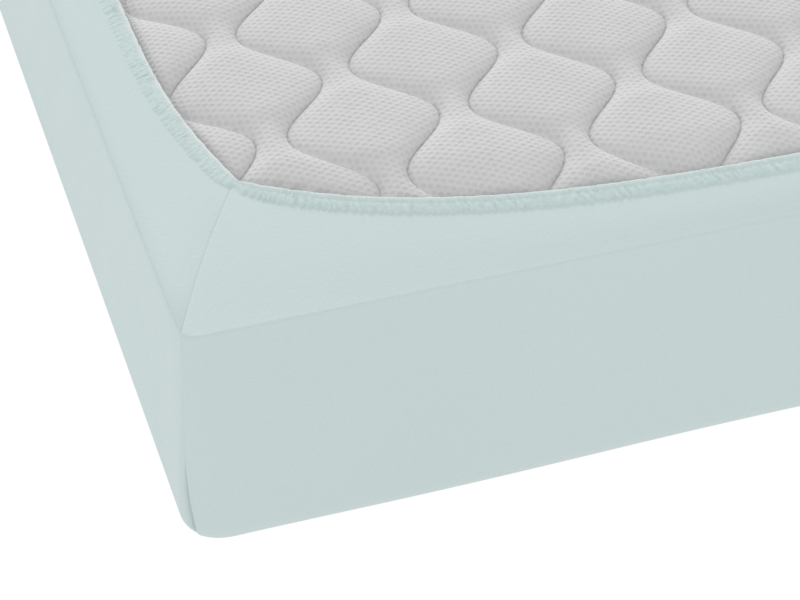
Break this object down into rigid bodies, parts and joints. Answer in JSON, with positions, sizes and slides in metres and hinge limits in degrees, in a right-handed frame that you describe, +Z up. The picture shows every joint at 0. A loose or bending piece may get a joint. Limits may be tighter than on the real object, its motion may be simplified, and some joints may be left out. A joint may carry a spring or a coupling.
{
  "type": "fitted sheet on mattress",
  "caption": "Single mattress lying face up, with a fitted jersey sheet stretched round it: closed panel below, plain walls, and a gathered elastic hem turned over the quilted face.",
  "frame": {"origin": "floor level, under the middle of the mattress", "axes": "+Z up, X across the bed, Y along the bed"},
  "size_m": [0.9, 2, 0.2085],
  "materials": {
    "jersey": "pale mint cotton jersey, matt, slightly brushed",
    "ticking": "pale grey-white knitted mattress cover with fine dimples, quilted"
  },
  "bodies": {
    "root": {"fitted_sheet": "jersey", "mattress": "ticking"}
  },
  "joints": []
}
